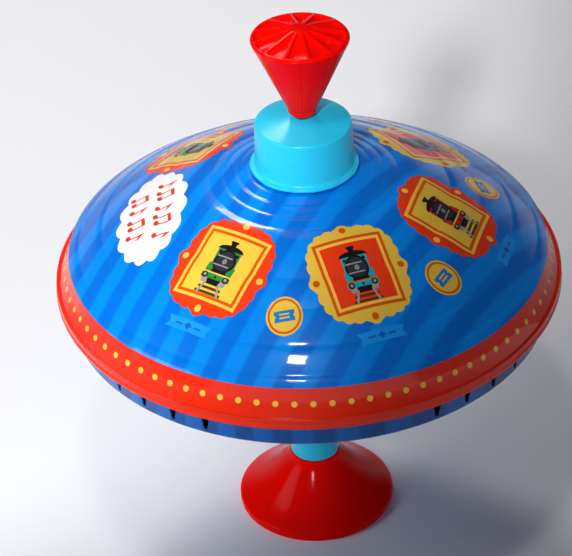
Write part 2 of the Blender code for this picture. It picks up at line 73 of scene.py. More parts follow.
RIM_Z, DOME_TOP, RIM_R = low_high("upper_shell")
BELLY_Z, FLANGE_TOP, _ = low_high("lower_shell")
NECK_Z, CAP_PEAK, FLANGE_R = low_high("top_cap")
STEM_Z, STEM_TOP, COLLAR_R = low_high("stem")
_, FOOT_TOP, FOOT_R = low_high("foot")
TIP_Z, HUB_Z, HANDLE_R = low_high("handle")
STRIP_LOW, STRIP_TOP, _ = low_high("spindle")
NECK_R = 14.0
BAND_LEAN = 5.7
BAND_RISE = 13.85
SHOULDER_R = RIM_R - BAND_LEAN
SHOULDER_Z = RIM_Z + BAND_RISE
GAP = 0.3
TIN = 0.5
PLASTIC = 1.4
print(f"rim radius {RIM_R:.1f} mm, dome from {SHOULDER_Z:.1f} to {DOME_TOP:.1f} mm")

# %% [markdown]
# ## Camera, floor and light
#
# The camera looks down on the top by about 35 degrees from nearly a metre away with a long lens,
# leaning slightly, which keeps the rim's ellipse regular. Its turns are applied one after another:
# down from the horizon, across, a trace of tilt, then the lean about its own axis.

# %% Camera
CAMERA_DISTANCE = 911.9
CAMERA_DOWN = radians(35.347)
CAMERA_ACROSS = radians(0.539)
CAMERA_TILT = radians(-0.143)
CAMERA_LEAN = radians(2.142)
CAMERA_LENS = 152.14

camera = bpy.data.objects.new("camera", bpy.data.cameras.new("camera"))
bpy.context.scene.collection.objects.link(camera)
camera.data.lens = CAMERA_LENS
camera.data.sensor_width = 36.0
camera.data.clip_end = 20.0
away = CAMERA_DISTANCE * cos(CAMERA_DOWN)
above = CAMERA_DISTANCE * sin(CAMERA_DOWN)
place = Matrix.Translation(Vector((0, -away, RIM_Z + above)) * MM)
turn_down = Matrix.Rotation(pi / 2 - CAMERA_DOWN, 4, "X")
turn_across = Matrix.Rotation(CAMERA_ACROSS, 4, "Y")
turn_tilt = Matrix.Rotation(CAMERA_TILT, 4, "X")
turn_lean = Matrix.Rotation(-CAMERA_LEAN, 4, "Z")
camera.matrix_world = place @ turn_down @ turn_across @ turn_tilt @ turn_lean
bpy.context.scene.camera = camera
bpy.context.scene.view_settings.view_transform = "Standard"
print("camera at", [round(value, 3) for value in camera.location])


# %% Colours and nodes
def linear(code):
    """Turn an sRGB hex colour such as #ff8800 into the linear values that shaders use."""
    values = [int(code[place : place + 2], 16) / 255 for place in (1, 3, 5)]
    bent = [v / 12.92 if v <= 0.04045 else ((v + 0.055) / 1.055) ** 2.4 for v in values]
    return (*bent, 1.0)


def add_node(tree, kind, settings=None, inputs=None, links=None):
    """Add a node with its settings, its socket values and the sockets that feed it."""
    made = tree.nodes.new(kind)
    for name, value in (settings or {}).items():
        setattr(made, name, value)
    for name, value in (inputs or {}).items():
        made.inputs[name].default_value = value
    for name, source in (links or {}).items():
        tree.links.new(source, made.inputs[name])
    return made


def new_material(name, colour, metallic=0.0, roughness=0.3, sockets=None):
    """A Principled material with plain values. Further sockets are given by name."""
    made = bpy.data.materials.new(name)
    made.use_nodes = True
    shader = made.node_tree.nodes["Principled BSDF"]
    shader.inputs["Base Color"].default_value = linear(colour)
    shader.inputs["Metallic"].default_value = metallic
    shader.inputs["Roughness"].default_value = roughness
    for socket, value in (sockets or {}).items():
        shader.inputs[socket].default_value = value
    return made, made.node_tree, shader


# %% [markdown]
# ## Surfaces that are not quite even
#
# Real lacquer and moulded plastic are never mirror flat. One small helper adds the two things the
# eye reads: a roughness that wanders a little, and a bump far shallower than a hair. The size of
# the grain is given in millimetres and becomes the noise's scale.

# %% Fine unevenness
def uneven(tree, shader, grain, rough_low, rough_high, depth, stretch=(1, 1, 1)):
    """Let roughness wander between two values and dent the surface by depth, in millimetres."""
    coords = add_node(tree, "ShaderNodeTexCoord")
    mapped = add_node(
        tree, "ShaderNodeMapping", inputs={"Scale": stretch}, links={"Vector": coords.outputs["Object"]}
    )
    noise = add_node(
        tree,
        "ShaderNodeTexNoise",
        inputs={"Scale": 1 / (grain * MM), "Detail": 3.0},
        links={"Vector": mapped.outputs["Vector"]},
    )
    ramp = add_node(
        tree,
        "ShaderNodeMapRange",
        inputs={"To Min": rough_low, "To Max": rough_high},
        links={"Value": noise.outputs["Fac"]},
    )
    tree.links.new(ramp.outputs["Result"], shader.inputs["Roughness"])
    bump = add_node(
        tree,
        "ShaderNodeBump",
        inputs={"Strength": 1.0, "Distance": depth * MM},
        links={"Height": noise.outputs["Fac"]},
    )
    tree.links.new(bump.outputs["Normal"], shader.inputs["Normal"])


# The ink itself hardly shines. The gloss is in the clear coat, so the colours stay deep.
CLEAR_LACQUER = {"Coat Weight": 0.6, "Coat Roughness": 0.05, "Specular IOR Level": 0.12}


def lacquer(name, colour):
    """Ink under clear lacquer on tinplate: a soft ink with a hard, glossy skin over it."""
    made, tree, shader = new_material(name, colour, sockets=CLEAR_LACQUER)
    uneven(tree, shader, grain=9.0, rough_low=0.22, rough_high=0.36, depth=0.02)
    return made


def moulded(name, colour, rough_low=0.1, rough_high=0.16, shine=0.28):
    """Injection-moulded polystyrene: glossy, with a faint flow in the surface."""
    sockets = {"IOR": 1.5, "Specular IOR Level": shine}
    made, tree, shader = new_material(name, colour, sockets=sockets)
    uneven(tree, shader, grain=6.0, rough_low=rough_low, rough_high=rough_high, depth=0.03)
    return made


def metal(name, colour, rough_low, rough_high, stretch=(1, 1, 1)):
    """Bare metal, drawn or brushed along one direction when stretch says so."""
    made, tree, shader = new_material(name, colour, metallic=1.0)
    uneven(tree, shader, 1.2, rough_low, rough_high, depth=0.01, stretch=stretch)
    return made


# %% Floor
FLOOR_SIZE = 5.0
floor_material = new_material("pale_floor", "#efeff2", roughness=0.7)[0]
bpy.ops.object.select_all(action="DESELECT")
bpy.ops.mesh.primitive_plane_add(size=FLOOR_SIZE, location=(0, 0, 0))
floor = bpy.context.active_object
floor.name = "floor"
floor.data.materials.append(floor_material)


# %% [markdown]
# A flash stands to the left of the camera. It is a spot with a soft edge, aimed past the left of
# the top, so its light fades towards the right. A small lamp high above makes the crisp sparks in
# the pressed rings. A window on the left and two lamps behind the top, one of them a spot with a
# fully soft edge, brighten the floor behind it. The room fills the shadows: it is pale low down and
# dark overhead, so that the glossy dome mirrors little and keeps its colour.

# %% Lights
def add_light(name, kind, energy, at, towards, **settings):
    """A light that faces a point. Places are given in millimetres."""
    data = bpy.data.lights.new(name, kind)
    data.energy = energy
    for key, value in settings.items():
        setattr(data, key, value)
    made = bpy.data.objects.new(name, data)
    bpy.context.scene.collection.objects.link(made)
    made.location = Vector(at) * MM
    aim = (Vector(towards) - Vector(at)).normalized()
    made.rotation_euler = aim.to_track_quat("-Z", "Y").to_euler()


BEHIND = (-250, 1150, 1350)
add_light(
    "flash", "SPOT", 42.0, (-190, -780, 700), (-190, 150, 120),
    spot_size=radians(28), spot_blend=0.28, shadow_soft_size=0.05,
)
add_light("overhead", "AREA", 1.5, (-83, -365, 1150), (0, 0, RIM_Z), size=0.1)
add_light("window", "AREA", 6.0, (-1250, -300, 880), (-100, 900, 0), size=0.7)
add_light("backdrop_lamp", "AREA", 6.0, BEHIND, (-150, 950, 0), size=0.4)
add_light(
    "floor_spot", "SPOT", 26.0, BEHIND, (-150, 420, 0),
    spot_size=radians(36), spot_blend=1.0, shadow_soft_size=0.15,
)

world = bpy.data.worlds.new("room")
bpy.context.scene.world = world
world.use_nodes = True
background = world.node_tree.nodes["Background"]
background.inputs["Color"].default_value = linear("#e6e8ee")
room = world.node_tree
direction = add_node(room, "ShaderNodeTexCoord")
upwards = add_node(room, "ShaderNodeSeparateXYZ", links={"Vector": direction.outputs["Object"]})
wall = add_node(
    room,
    "ShaderNodeMapRange",
    inputs={"From Min": 0.05, "From Max": 0.3, "To Min": 0.85, "To Max": 0.05},
    links={"Value": upwards.outputs["Z"]},
)
room.links.new(wall.outputs["Result"], background.inputs["Strength"])


# %% [markdown]
# ## Modelling helpers
#
# A round piece is turned: one point is pulled along the profile, and the line that it leaves is
# spun about the Z axis. Corners are given with a fillet, which a short curve then rounds off.

# %% Pull a profile and spin it
def rounded(corners, segments=5):
    """Points of a profile whose (radius, height, fillet) corners are rounded by their fillets."""
    points = []
    for place, (r, z, fillet) in enumerate(corners):
        here = Vector((r, z))
        if not fillet:
            points.append((r, z))
            continue
        before = Vector(corners[place - 1][:2]) - here
        after = Vector(corners[(place + 1) % len(corners)][:2]) - here
        reach = fillet / tan(before.angle(after) / 2)
        reach = min(reach, 0.48 * before.length, 0.48 * after.length)
        start = here + before.normalized() * reach
        end = here + after.normalized() * reach
        for step in range(segments + 1):
            share = step / segments
            bend = start * (1 - share) ** 2 + here * 2 * share * (1 - share) + end * share**2
            points.append((bend.x, bend.y))
    return points


def select_only(piece):
    """Make one piece the active one and the only one selected."""
    bpy.ops.object.select_all(action="DESELECT")
    bpy.context.view_layer.objects.active = piece
    piece.select_set(True)


def start_edit(piece):
    """Put one piece alone in edit mode with all of it selected."""
    select_only(piece)
    bpy.ops.object.mode_set(mode="EDIT")
    bpy.ops.mesh.select_all(action="SELECT")


def settle(piece, name):
    """Leave edit mode, name the piece and put its place into its mesh."""
    bpy.ops.object.mode_set(mode="OBJECT")
    bpy.ops.object.transform_apply(location=True, rotation=True, scale=True)
    piece.name = name
    piece.data.name = name
    return piece


def turned(name, profile, steps, closed=False):
    """Turn a profile of (radius, height) points, in millimetres, into a round piece."""
    points = [Vector((r, 0, z)) * MM for r, z in profile]
    if closed:
        points.append(points[0])
    bpy.ops.object.select_all(action="DESELECT")
    bpy.ops.mesh.primitive_plane_add(size=MM, location=points[0])
    piece = bpy.context.active_object
    bpy.ops.object.mode_set(mode="EDIT")
    bpy.ops.mesh.merge(type="CENTER")
    for here, there in zip(points, points[1:]):
        bpy.ops.mesh.extrude_vertices_move(TRANSFORM_OT_translate={"value": there - here})
    bpy.ops.mesh.select_all(action="SELECT")
    bpy.ops.mesh.spin(steps=steps, angle=2 * pi, center=(0, 0, 0), axis=(0, 0, 1))
    bpy.ops.mesh.select_all(action="SELECT")
    bpy.ops.mesh.remove_doubles(threshold=0.002 * MM)
    bpy.ops.mesh.normals_make_consistent(inside=False)
    return settle(piece, name)


def smooth(piece, degrees=30):
    """Shade a piece smooth but for edges sharper than this."""
    select_only(piece)
    bpy.ops.object.shade_smooth_by_angle(angle=radians(degrees))


def apply_modifier(piece, kind, **settings):
    """Add a modifier with its settings and apply it."""
    select_only(piece)
    made = piece.modifiers.new(kind.lower(), kind)
    for name, value in settings.items():
        setattr(made, name, value)
    bpy.ops.object.modifier_apply(modifier=made.name)


def join(pieces, name):
    """Join several pieces into the first of them."""
    bpy.ops.object.select_all(action="DESELECT")
    for piece in pieces:
        piece.select_set(True)
    bpy.context.view_layer.objects.active = pieces[0]
    if len(pieces) > 1:
        bpy.ops.object.join()
    pieces[0].name = name
    pieces[0].data.name = name
    return pieces[0]


def flat_face(corners, radius=1.0):
    """A flat face with its corners on a circle, in millimetres."""
    bpy.ops.object.select_all(action="DESELECT")
    bpy.ops.mesh.primitive_circle_add(vertices=corners, radius=radius * MM, fill_type="NGON")
    return bpy.context.active_object


def copies_round(first, count):
    """A piece and its copies, each with its own mesh, at even steps round the Z axis."""
    pieces = [first]
    for index in range(1, count):
        copy = first.copy()
        copy.data = first.data.copy()
        bpy.context.scene.collection.objects.link(copy)
        copy.data.transform(Matrix.Rotation(2 * pi * index / count, 4, "Z"))
        pieces.append(copy)
    return pieces


def cut_away(piece, cutter):
    """Take a cutter away from a piece and drop the cutter."""
    apply_modifier(piece, "BOOLEAN", operation="DIFFERENCE", object=cutter)
    bpy.data.objects.remove(cutter, do_unlink=True)


def hand_over(piece, body, slot, material, *nodes):
    """Give a piece its material and its body, and hide the nodes that it stands for. The slot is not
    used.
    """
    if material:
        piece.data.materials.clear()
        piece.data.materials.append(material)
    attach(piece, body)
    if nodes:
        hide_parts(*nodes)
    print(piece.name, len(piece.data.polygons), "faces")


# %% [markdown]
# ## The dome and its pressed rings
#
# The dome is pressed in one blow between steel dies. Its section is a gentle cone with a crown, and
# across it run shallow rings: each is a soft swelling that ends in a crease. The rings stiffen the
# thin tin and catch the light in long arcs. Each ring is given by its start, its relief, where its
# crest lies across its width, and how suddenly it falls after the crest. One function gives the
# height at any radius, so the prints laid on the dome later follow exactly the same surface.

# %% Height of the dome
CAP_SEAT = 0.5
DOME_START = DOME_TOP - CAP_SEAT
DOME_CROWN = 3.5
RINGS = (
    (20.1, 0.25, 0.3, 2),
    (24.5, 0.3, 0.3, 2),
    (29.5, 0.3, 0.3, 2),
    (34.6, 0.95, 0.35, 2),
    (53.9, 0.45, 0.3, 2),
    (64.2, 0.14, 0.3, 12),
    (76.5, 0.45, 0.25, 2),
    (85.6, 0.26, 0.4, 2),
)
RINGS_END = 89.3


def ring_relief(r):
    """How far the pressed rings lift the dome at radius r."""
    ends = [ring[0] for ring in RINGS[1:]] + [RINGS_END]
    for (start, relief, crest, sharpness), end in zip(RINGS, ends):
        if start <= r <= end:
            share = (r - start) / (end - start)
            if share < crest:
                return relief * (1 - (1 - share / crest) ** 2)
            return relief * (1 - ((share - crest) / (1 - crest)) ** sharpness)
    return 0.0


def dome_height(r):
    """Height of the dome's outer face at radius r, both in millimetres."""
    share = (r - FLANGE_R) / (SHOULDER_R - FLANGE_R)
    share = max(0.0, min(1.0, share))
    cone = DOME_START - (DOME_START - SHOULDER_Z) * share
    return cone + 4 * DOME_CROWN * share * (1 - share) + ring_relief(r)


# %% Spin the dome
DOME_STEPS = 160
POINT_SPACING = 0.5
CURVE_START_R = FLANGE_R - 2.0
curve_width = SHOULDER_R - CURVE_START_R
dome_points = [(NECK_R + GAP, DOME_START)]
count = round(curve_width / POINT_SPACING)
for step in range(count + 1):
    r = CURVE_START_R + curve_width * step / count
    dome_points.append((r, dome_height(r)))
dome = turned("printed_dome", dome_points, DOME_STEPS)
apply_modifier(dome, "SOLIDIFY", thickness=TIN * MM, offset=-1.0)
smooth(dome, 50)
print(f"dome from {dome_height(SHOULDER_R):.1f} to {dome_height(FLANGE_R):.1f} mm")

# %% [markdown]
# The ground print is a field of broad parallel stripes in two blues, printed flat before the tin is
# pressed. So the pattern runs straight across in plan: a wave along one horizontal direction. The
# wave's scale comes from the real stripe, about 12.6 mm from one to the next.

# %% Striped ground print
STRIPE_PERIOD = 12.6
STRIPE_TURN = radians(-34)


def striped(name, light, dark):
    """Lacquered tin with broad stripes in two colours, straight in plan."""
    made, tree, shader = new_material(name, light, sockets=CLEAR_LACQUER)
    uneven(tree, shader, grain=9.0, rough_low=0.22, rough_high=0.36, depth=0.02)
    coords = add_node(tree, "ShaderNodeTexCoord")
    across = add_node(
        tree,
        "ShaderNodeMapping",
        inputs={"Rotation": (0, 0, -STRIPE_TURN)},
        links={"Vector": coords.outputs["Object"]},
    )
    split = add_node(tree, "ShaderNodeSeparateXYZ", links={"Vector": across.outputs["Vector"]})
    cycles = add_node(
        tree,
        "ShaderNodeMath",
        settings={"operation": "MULTIPLY"},
        inputs={1: 2 * pi / (STRIPE_PERIOD * MM)},
        links={0: split.outputs["X"]},
    )
    wave = add_node(tree, "ShaderNodeMath", {"operation": "SINE"}, links={0: cycles.outputs[0]})
    edge = add_node(
        tree,
        "ShaderNodeMapRange",
        inputs={"From Min": -0.35, "From Max": 0.35},
        links={"Value": wave.outputs[0]},
    )
    mixed = add_node(tree, "ShaderNodeMix", {"data_type": "RGBA"}, links={0: edge.outputs["Result"]})
    mixed.inputs[6].default_value = linear(light)
    mixed.inputs[7].default_value = linear(dark)
    tree.links.new(mixed.outputs[2], shader.inputs["Base Color"])
    return made


STRIPED_TIN = striped("striped_lithograph", "#0088ee", "#006ed6")
hand_over(dome, "body", "printed_tin", STRIPED_TIN, "upper_shell")

# %% [markdown]
# ## Printing on the dome
#
# Each print is modelled as ink: thin wafers that lie on the tin. An outline is drawn flat, at its
# place in plan. All outlines of one motif are joined, cut along a fine square grid so that they can
# bend, dropped onto the dome by the height function, and made just under a tenth of a millimetre
# thick. Ink that lies over other ink is one layer higher. Every edge stays sharp this way, however
# close the eye comes.

# %% Inks
INK_COLOURS = {
    "red": "#ee3c14",
    "yellow": "#eec242",
    "pale_line": "#ffc24a",
    "orange_line": "#d65a04",
    "white": "#f4f4f2",
    "door_iron": "#2c3036",
    "iron": "#17161a",
    "rail_grey": "#9a9698",
    "sleeper_brown": "#5a3414",
    "brick": "#b8261c",
    "slate_blue": "#1c7fc4",
    "leaf_green": "#2f8a3c",
    "teal": "#18a3b4",
    "note_red": "#dc3a26",
    "ribbon_blue": "#1a96f4",
    "ribbon_dark": "#0c62c0",
}
INKS = {name: lacquer(name + "_ink", colour) for name, colour in INK_COLOURS.items()}
print(len(INKS), "inks")


# %% Outlines in millimetres
def disc(x, y, radius, corners=20):
    """Corners of a round outline."""
    angles = [2 * pi * index / corners for index in range(corners)]
    return [(x + radius * cos(angle), y + radius * sin(angle)) for angle in angles]


def bar(left, low, right, high):
    """Corners of a rectangle."""
    return [(left, low), (right, low), (right, high), (left, high)]


def mirrored(points):
    """The same outline on the other side of the middle line."""
    return [(-x, y) for x, y in reversed(points)]


def turned_by(points, degrees, x=0.0, y=0.0):
    """An outline turned about the origin and moved."""
    c, s = cos(radians(degrees)), sin(radians(degrees))
    return [(x + px * c - py * s, y + px * s + py * c) for px, py in points]


# %% Lay a motif on the dome
LAYER = 0.045
INK_DEPTH = 0.08
GRID = 1.0


def flat_shape(points, layer, material):
    """A flat face with the given corners. Its height holds its layer until it is laid down."""
    shape = flat_face(len(points))
    for vertex, (x, y) in zip(shape.data.vertices, points):
        vertex.co = Vector((x, y, layer * LAYER)) * MM
    face_up(shape)
    shape.data.materials.append(material)
    return shape


def face_up(shape):
    """Turn a flat shape's faces so that they look up."""
    shape.data.update()
    if shape.data.polygons[0].normal.z < 0:
        start_edit(shape)
        bpy.ops.mesh.flip_normals()
        bpy.ops.object.mode_set(mode="OBJECT")


def cut_grid(shape):
    """Cut a flat shape along square grid lines so that it can bend."""
    start_edit(shape)
    for axis, direction in ((0, (1, 0, 0)), (1, (0, 1, 0))):
        places = [vertex.co[axis] / MM for vertex in shape.data.vertices]
        line = GRID * (int(min(places) / GRID) - 1)
        while line < max(places):
            point = [0.0, 0.0, 0.0]
            point[axis] = line * MM
            bpy.ops.mesh.select_all(action="SELECT")
            bpy.ops.mesh.bisect(plane_co=point, plane_no=direction)
            line += GRID
    bpy.ops.object.mode_set(mode="OBJECT")


def lay_down(shapes, name, radius):
    """Join flat shapes, move them out to a radius at the front and lay them on the dome."""
    motif = join(shapes, name)
    motif.data.transform(Matrix.Translation((0, -radius * MM, 0)))
    cut_grid(motif)
    for vertex in motif.data.vertices:
        r = Vector(vertex.co[:2]).length / MM
        vertex.co.z += dome_height(r) * MM
    apply_modifier(motif, "SOLIDIFY", thickness=INK_DEPTH * MM, offset=-1.0)
    smooth(motif, 40)
    return motif


def printed_copy(motif, name, turn, inks=None):
    """A copy of a motif with its own mesh, turned round the dome, with other inks if given."""
    copy = motif.copy()
    copy.data = motif.data.copy()
    copy.name = name
    copy.data.name = name
    bpy.context.scene.collection.objects.link(copy)
    copy.data.transform(Matrix.Rotation(radians(turn), 4, "Z"))
    for place, slot in enumerate(copy.data.materials):
        key = slot.name.removesuffix("_ink")
        if inks and key in inks:
            copy.data.materials[place] = INKS[inks[key]]
    hand_over(copy, "body", "printed_tin", None)


def print_round(motif, name, turns, inks=None):
    """Print a motif at several turns, each with its own changes of ink, and drop the original."""
    for index, turn in enumerate(turns):
        printed_copy(motif, f"{name}_{index + 1}", turn, inks[index] if inks else None)
    bpy.data.objects.remove(motif, do_unlink=True)


# %% [markdown]
# ## The framed pictures
#
# Six pictures stand round the dome with their tops to the cap. Each has a scalloped border with a
# bead in the middle of every side, a frame of two lines, and a plain steam engine seen from the
# front: a dark round smokebox door with steel straps and a hand wheel, a chimney, a cab, tanks, and
# a buffer beam over the rails.

# %% Scalloped border
PICTURE_R = 53.75
FRAME_SIZE = 25.8
LINE_W = 1.1
BEAD_AT = 15.9
BEAD_R = 1.25
LOBE_R = 2.6
BORDER_R = 16.6
CORNER_REACH = 2.1
SCALLOP_HEIGHT = 0.75
SCALLOPS = 28


def scalloped_border():
    """Outline between a circle and a square, with small scallops and a lobe on each side."""
    points = []
    corners = SCALLOPS * 8
    for index in range(corners):
        angle = 2 * pi * index / corners
        roundness = 0.5 - 0.5 * cos(4 * angle)
        radius = BORDER_R + CORNER_REACH * roundness
        radius += SCALLOP_HEIGHT * abs(sin(SCALLOPS * angle / 2))
        side = abs((angle + pi / 4) % (pi / 2) - pi / 4)
        reach = LOBE_R**2 - (BEAD_AT * sin(side)) ** 2
        if reach > 0:
            radius = max(radius, BEAD_AT * cos(side) + reach**0.5)
        points.append((radius * cos(angle), radius * sin(angle)))
    return points


def framed_field(layer):
    """A square with two frame lines, made by insetting its face twice."""
    bpy.ops.object.select_all(action="DESELECT")
    bpy.ops.mesh.primitive_plane_add(size=FRAME_SIZE * MM)
    square = bpy.context.active_object
    bpy.ops.object.mode_set(mode="EDIT")
    for _ in range(2):
        bpy.ops.mesh.inset(thickness=LINE_W * MM)
    bpy.ops.object.mode_set(mode="OBJECT")
    for key in ("pale_line", "orange_line", "yellow"):
        square.data.materials.append(INKS[key])
    for face in square.data.polygons:
        from_edge = FRAME_SIZE / 2 - max(abs(face.center.x), abs(face.center.y)) / MM
        face.material_index = min(2, int(from_edge / LINE_W))
    for vertex in square.data.vertices:
        vertex.co.z = layer * LAYER * MM
    return square


# %% Steam engine from the front: layer, ink and outline of each shape
DOOR_Y = 1.5
engine = [
    (3, "sleeper_brown", bar(-4.6, -9.0, 4.6, -8.1)),
    (3, "sleeper_brown", bar(-5.3, -10.6, 5.3, -9.7)),
    (3, "brick", [(-4.6, -3.2), (4.6, -3.2), (4.8, 5.2), (4.2, 6.2), (-4.2, 6.2), (-4.8, 5.2)]),
    (4, "iron", [(-5.5, 5.6), (5.5, 5.6), (4.4, 6.7), (2.2, 7.3), (-2.2, 7.3), (-4.4, 6.7)]),
    (4, "iron", [(-3.2, -3.2), (3.2, -3.2), (2.6, -0.8), (-2.6, -0.8)]),
    (4, "iron", [(-2.4, -7.4), (2.4, -7.4), (2.8, -5.4), (-2.8, -5.4)]),
    (5, "iron", [(-0.9, 5.2), (0.9, 5.2), (1.1, 8.3), (-1.1, 8.3)]),
    (5, "iron", bar(-1.5, 8.3, 1.5, 9.1)),
    (5, "iron", disc(0, DOOR_Y, 4.3, 32)),
    (5, "brick", bar(-5.8, -5.5, 5.8, -3.4)),
    (6, "pale_line", bar(-5.8, -3.7, 5.8, -3.2)),
    (6, "door_iron", disc(0, DOOR_Y, 3.55, 32)),
    (6, "iron", bar(-0.4, -5.1, 0.4, -4.3)),
    (7, "rail_grey", bar(-3.7, DOOR_Y + 1.3, 2.4, DOOR_Y + 1.75)),
    (7, "rail_grey", bar(-3.7, DOOR_Y - 1.75, 2.4, DOOR_Y - 1.3)),
    (7, "rail_grey", disc(0, DOOR_Y, 0.85, 14)),
    (8, "door_iron", disc(0, DOOR_Y, 0.5, 12)),
    (9, "rail_grey", bar(-0.85, DOOR_Y - 0.12, 0.85, DOOR_Y + 0.12)),
    (10, "rail_grey", bar(-0.12, DOOR_Y - 0.85, 0.12, DOOR_Y + 0.85)),
]
one_side = [
    (4, "rail_grey", [(2.3, -6.6), (3.0, -6.6), (4.8, -10.9), (3.8, -10.9)]),
    (4, "brick", bar(3.3, -3.2, 5.4, 0.4)),
    (4, "iron", disc(3.6, 4.5, 0.6, 12)),
    (4, "rail_grey", [(2.9, -7.2), (4.8, -7.2), (5.3, -5.4), (2.9, -5.4)]),
    (6, "iron", disc(4.3, -4.6, 1.15, 14)),
    (7, "rail_grey", disc(4.3, -4.6, 0.55, 12)),
]
for layer, key, points in one_side:
    engine.append((layer, key, points))
    engine.append((layer, key, mirrored(points)))

# %% One picture, then six
shapes = [flat_shape(scalloped_border(), 1, INKS["red"]), framed_field(2)]
for x, y in ((BEAD_AT, 0), (-BEAD_AT, 0), (0, BEAD_AT), (0, -BEAD_AT)):
    shapes.append(flat_shape(disc(x, y, BEAD_R, 16), 2, INKS["pale_line"]))
for layer, key, points in engine:
    shapes.append(flat_shape(points, layer, INKS[key]))
picture = lay_down(shapes, "picture", PICTURE_R)
print("picture inks:", [material.name for material in picture.data.materials])

# %% Turn the pictures round the dome
PICTURE_TURNS = (-34.5, 19.1, 72.2, 125.4, 178.3, -129.0)
SWAPPED = {"red": "yellow", "yellow": "red", "pale_line": "orange_line", "orange_line": "pale_line"}
ENGINE_COLOURS = ("leaf_green", "teal", "brick", "slate_blue", "teal", "leaf_green")
SWAPPED_PICTURES = (1, 3)
changes = []
for index, colour in enumerate(ENGINE_COLOURS):
    swapped = SWAPPED if index in SWAPPED_PICTURES else {}
    changes.append({**swapped, "brick": colour})
print_round(picture, "engine_picture", PICTURE_TURNS, changes)

# %% [markdown]
# ## Badges, ribbons and the cloud
#
# Between the pictures stand round badges with a small plain ticket, and under each picture lies a
# short ribbon with notched ends. On the left a scalloped white cloud carries two rows of notes, as
# suits a top that hums.

# %% Badges
BADGE_R = 66.8
BADGE_TURNS = (-7.7, 45.6, 98.8, 151.9, 204.6)
ticket = [(-3.6, -1.9), (3.6, -1.9), (3.6, -0.7), (3.0, 0), (3.6, 0.7), (3.6, 1.9)]
ticket += [(-3.6, 1.9), (-3.6, 0.7), (-3.0, 0), (-3.6, -0.7)]
badge_shapes = [
    flat_shape(disc(0, 0, 6.5, 36), 1, INKS["yellow"]),
    flat_shape(disc(0, 0, 5.9, 36), 2, INKS["orange_line"]),
    flat_shape(disc(0, 0, 5.2, 36), 3, INKS["yellow"]),
    flat_shape(turned_by(ticket, 12), 4, INKS["slate_blue"]),
    flat_shape(turned_by(bar(-1.8, 0.35, 1.8, 0.9), 12), 5, INKS["yellow"]),
    flat_shape(turned_by(bar(-1.8, -0.9, 1.8, -0.35), 12), 5, INKS["yellow"]),
]
badge = lay_down(badge_shapes, "badge", BADGE_R)
print_round(badge, "badge", BADGE_TURNS)

# %% Ribbons
RIBBON_R = 75.9
ribbon_half = [(8.8, -2.0), (7.6, 0.0), (8.8, 2.0)]
ribbon_shapes = [
    flat_shape(ribbon_half + mirrored(ribbon_half), 1, INKS["ribbon_blue"]),
    flat_shape(bar(-5.2, -0.35, -2.4, 0.35), 2, INKS["ribbon_dark"]),
    flat_shape(bar(2.4, -0.35, 5.2, 0.35), 2, INKS["ribbon_dark"]),
    flat_shape([(0, -1.2), (1.6, 0), (0, 1.2), (-1.6, 0)], 2, INKS["ribbon_dark"]),
]
ribbon = lay_down(ribbon_shapes, "ribbon", RIBBON_R)
print_round(ribbon, "ribbon", PICTURE_TURNS)

# %% Cloud outline
CLOUD_R = 57.0
CLOUD_TURN = -84.0
CLOUD_TILT = -10.0
CLOUD_HALF_LENGTH = 23.0
CLOUD_HALF_DEPTH = 10.9
CLOUD_MARGIN = 1.0
CLOUD_PUFF = 1.7
CLOUD_LOBES = 15
cloud = []
for index in range(CLOUD_LOBES * 8):
    angle = 2 * pi * index / (CLOUD_LOBES * 8)
    swell = CLOUD_MARGIN + CLOUD_PUFF * abs(sin(CLOUD_LOBES * angle / 2))
    x = (CLOUD_HALF_LENGTH + swell) * cos(angle)
    y = (CLOUD_HALF_DEPTH + swell) * sin(angle)
    cloud.append((x, y))


# %% Notes
NOTE_LEAN = 20


def note_pair(x, y):
    """Two quavers under one beam."""
    shapes = []
    for shift, lift in ((-1.8, -0.3), (1.8, 0.3)):
        shapes.append(turned_by(oval, NOTE_LEAN, x + shift, y + lift))
    for shift, lift in ((-0.9, -0.3), (2.7, 0.3)):
        shapes.append(bar(x + shift - 0.3, y + lift, x + shift + 0.3, y + lift + 5.6))
    shapes.append([(x - 1.2, y + 4.3), (x + 3.0, y + 4.9), (x + 3.0, y + 6.2), (x - 1.2, y + 5.6)])
    return shapes


def single_note(x, y):
    """One quaver with its flag."""
    flag = [(0.6, 6.2), (0.6, 4.4), (2.0, 3.5), (2.7, 2.0), (2.6, 4.0)]
    flag = [(x + px, y + py) for px, py in flag]
    return [turned_by(oval, NOTE_LEAN, x, y), bar(x + 0.5, y, x + 1.1, y + 6.2), flag]


oval = [(1.35 * px, py) for px, py in disc(0, 0, 1.0, 14)]
notes = []
for index, x in enumerate((-15.0, -8.4, -0.6, 6.0, 13.8)):
    notes += (single_note, note_pair)[index % 2](x, 2.0)
for index, x in enumerate((-11.4, -4.8, 3.0, 9.6)):
    notes += (note_pair, single_note)[index % 2](x, -8.2)
cloud_shapes = [flat_shape(turned_by(cloud, CLOUD_TILT), 1, INKS["white"])]
for outline in notes:
    cloud_shapes.append(flat_shape(turned_by(outline, CLOUD_TILT), 2, INKS["note_red"]))
cloud_print = lay_down(cloud_shapes, "cloud", CLOUD_R)
printed_copy(cloud_print, "musical_cloud", CLOUD_TURN)
bpy.data.objects.remove(cloud_print, do_unlink=True)

# %% [markdown]
# ## The red band and the rolled seam
#
# Below the shoulder the shell leans out in a sloping red band. Its edge is then rolled round the
# lower shell's flange and closed in a press, which gives a rounded bead with a hard upper edge.

